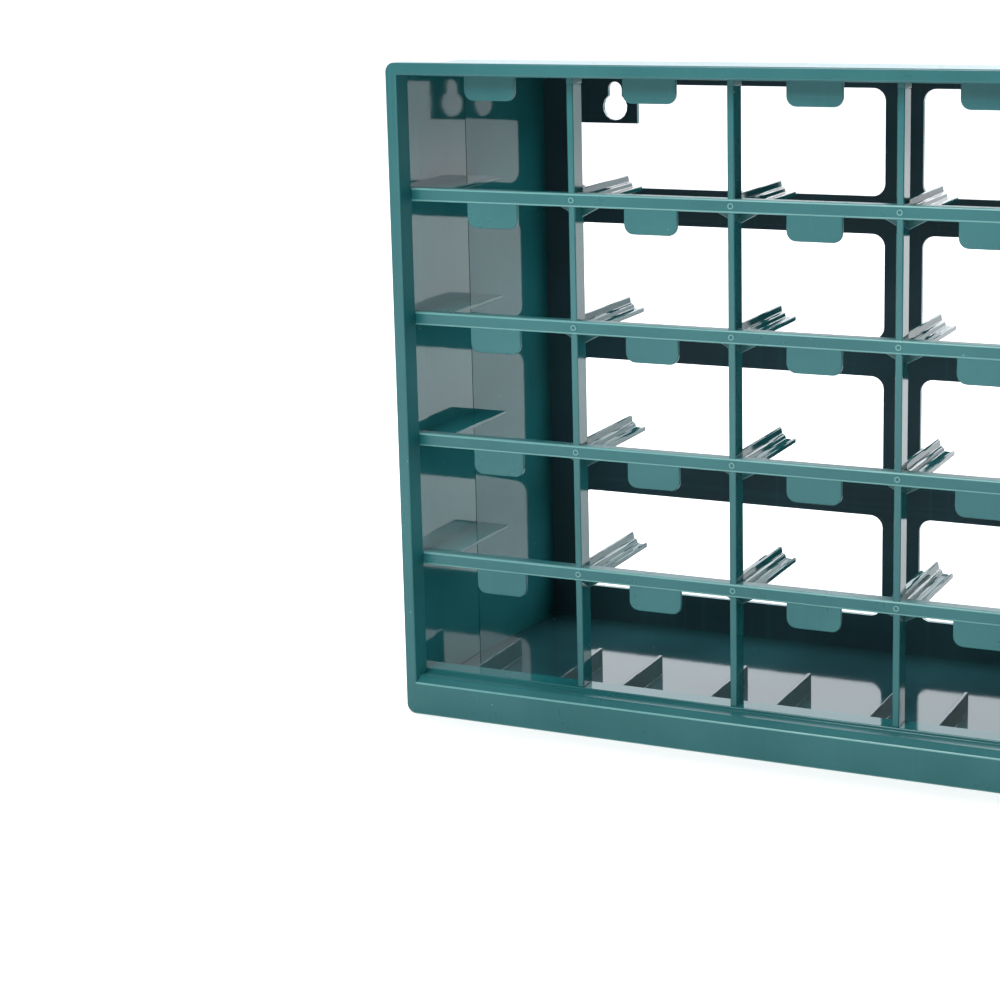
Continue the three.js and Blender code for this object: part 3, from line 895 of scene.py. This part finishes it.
def partition_ribs(bm, centre, y, floor, rim, sizes):
    """A pair of ribs on each side wall, between which a cross partition slides in."""
    buried = 0.2 * MM
    for side in (-1, 1):
        root = centre + side * (sizes.half_width - sizes.wall + buried)
        tip = root - side * (sizes.rib + buried)
        for offset in (-sizes.rib_offset, sizes.rib_offset):
            near = (min(root, tip), y + offset - sizes.rib_half, floor - buried)
            far = (max(root, tip), y + offset + sizes.rib_half, rim - sizes.rib_drop)
            block(bm, near, far)


def label_frame(bm, centre, y, z, sizes):
    """A raised U-shaped frame that holds a paper label."""
    half, tall, bar = sizes.label_width / 2, sizes.label_height, sizes.label_bar
    points = [
        (centre - half, y, z),
        (centre - half, y, z - tall),
        (centre + half, y, z - tall),
        (centre + half, y, z),
        (centre + half - bar, y, z),
        (centre + half - bar, y, z - tall + bar),
        (centre - half + bar, y, z - tall + bar),
        (centre - half + bar, y, z),
    ]
    prism(bm, points, (0, -sizes.label_rise, 0))


def pull(bm, centre, y, z, front, sizes):
    """A downturned finger lip with rounded outer corners."""
    half, corner = sizes.pull_width / 2, sizes.pull_corner
    points = [
        (centre - half, y, z),
        (centre + half, y, z),
        (centre + half, front, z),
        (centre - half, front, z),
    ]
    prism(bm, points, (0, 0, sizes.pull_wall), (2, 3), corner)
    top, foot = z + MM, z - sizes.pull_drop
    lip = [
        (centre - half + corner, front, top),
        (centre + half - corner, front, top),
        (centre + half - corner - MM, front, foot),
        (centre - half + corner + MM, front, foot),
    ]
    prism(bm, lip, (0, sizes.pull_lip, 0))


class CABINET_OT_drawers(bpy.types.Operator):
    """Clear sliding drawers"""

    bl_idname = "cabinet.drawers"
    bl_label = "Drawers"

    def execute(self, context):
        sizes = context.scene.cabinet_clear
        finish = finish_named("clear_polystyrene", clear_plastic)
        for row in range(1, ROWS + 1):
            node = f"drawer_{row}"
            bm = drawer_mesh(node, sizes)
            name = f"{node}_clear"
            make_piece(name, bm, [finish], [node], body=node, edge=DRAWER_EDGE)
        return {"FINISHED"}


# ---- Stage ------------------------------------------------------------------------------------------

FLOOR_HALF = 6.0
LAMP_TARGET = (0, 0, 0.1)
LAMPS = {  # place, size in metres, power in watts
    "key": ((-0.35, -1.45, 1.5), 1.0, 50),
    "back": ((0.3, 1.6, 1.3), 1.6, 18),
}
FRONT_SKY = 0.12
BEHIND_SKY = 1.95
RIGHT_SKY = 2.6
TOP_SKY = 0.2


class CABINET_OT_stage(bpy.types.Operator):
    """Pale floor, soft studio light and the camera"""

    bl_idname = "cabinet.stage"
    bl_label = "Stage"

    def execute(self, context):
        self.floor()
        self.sky(context.scene)
        for name, (place, size, watts) in LAMPS.items():
            self.lamp(name, place, size, watts)
        self.camera(context.scene)
        return {"FINISHED"}

    def floor(self):
        bm = bmesh.new()
        bmesh.ops.create_grid(bm, x_segments=1, y_segments=1, size=FLOOR_HALF)
        mesh = bpy.data.meshes.new("floor")
        bm.to_mesh(mesh)
        bm.free()
        mesh.materials.append(floor_paint("floor_paint"))
        floor = bpy.data.objects.new("floor", mesh)
        bpy.context.scene.collection.objects.link(floor)

    def sky(self, scene):
        """Soft light from all round, brighter behind the cabinet and brightest behind its right."""
        world = bpy.data.worlds.new("studio")
        world.use_nodes = True
        tree = world.node_tree
        shade = tree.nodes["Background"]
        shade.inputs["Color"].default_value = (0.96, 1.0, 1.05, 1)
        heading = tree.nodes.new("ShaderNodeTexCoord").outputs["Generated"]
        split = tree.nodes.new("ShaderNodeSeparateXYZ")
        tree.links.new(heading, split.inputs[0])
        behind = Signal(tree, split.outputs["Y"]).smooth(-0.35, 0.55)
        above = Signal(tree, split.outputs["Z"]).smooth(0.1, 0.9)
        right = Signal(tree, split.outputs["X"]).smooth(0.44, 0.6)
        strength = FRONT_SKY + behind * (BEHIND_SKY + right * RIGHT_SKY) + above * TOP_SKY
        plug(tree, shade.inputs["Strength"], strength)
        scene.world = world
        scene.view_settings.view_transform = "Standard"

    def lamp(self, name, place, size, watts):
        """A square soft lamp that faces the cabinet."""
        data = bpy.data.lights.new(name, "AREA")
        data.size = size
        data.energy = watts
        lamp = bpy.data.objects.new(name, data)
        lamp.location = place
        lamp.rotation_euler = (Vector(LAMP_TARGET) - Vector(place)).to_track_quat("-Z", "Y").to_euler()
        bpy.context.scene.collection.objects.link(lamp)

    def camera(self, scene):
        view = scene.cabinet_stage
        data = bpy.data.cameras.new("camera")
        data.lens = view.lens
        data.shift_x = view.shift
        data.shift_y = view.shift
        ahead = Vector((
            -math.sin(view.turn) * math.cos(view.tilt),
            math.cos(view.turn) * math.cos(view.tilt),
            math.sin(view.tilt),
        ))
        right = Vector((math.cos(view.turn), math.sin(view.turn), 0))
        up = right.cross(ahead)
        level = Matrix((right, up, -ahead)).transposed().to_4x4()
        camera = bpy.data.objects.new("camera", data)
        camera.matrix_world = Matrix.Translation(view.eye) @ level @ Matrix.Rotation(view.roll, 4, "Z")
        scene.collection.objects.link(camera)
        scene.camera = camera


# ---- Add-on -----------------------------------------------------------------------------------------

STEPS = (
    CABINET_OT_collar,
    CABINET_OT_rails,
    CABINET_OT_dividers,
    CABINET_OT_runners,
    CABINET_OT_shelves,
    CABINET_OT_front_shell,
    CABINET_OT_rear_case,
    CABINET_OT_drawers,
    CABINET_OT_stage,
)


class CABINET_PT_steps(bpy.types.Panel):
    """Lists the steps that build the cabinet"""

    bl_idname = "CABINET_PT_steps"
    bl_label = "Parts Cabinet"
    bl_space_type = "VIEW_3D"
    bl_region_type = "UI"
    bl_category = "Parts Cabinet"

    def draw(self, context):
        for step in STEPS:
            self.layout.operator(step.bl_idname)


SETTINGS = {
    "cabinet_collar": CollarSizes,
    "cabinet_grid": GridSizes,
    "cabinet_runner": RunnerSizes,
    "cabinet_clear": ClearSizes,
    "cabinet_plastic": PlasticLook,
    "cabinet_stage": StageSizes,
}


def register():
    for kind in (*SETTINGS.values(), *STEPS, CABINET_PT_steps):
        bpy.utils.register_class(kind)
    for name, kind in SETTINGS.items():
        setattr(bpy.types.Scene, name, bpy.props.PointerProperty(type=kind))


def unregister():
    for name in SETTINGS:
        delattr(bpy.types.Scene, name)
    for kind in reversed((*SETTINGS.values(), *STEPS, CABINET_PT_steps)):
        bpy.utils.unregister_class(kind)


def main():
    register()
    for step in STEPS:
        group, name = step.bl_idname.split(".")
        getattr(getattr(bpy.ops, group), name)()


if __name__ == "__main__":
    main()
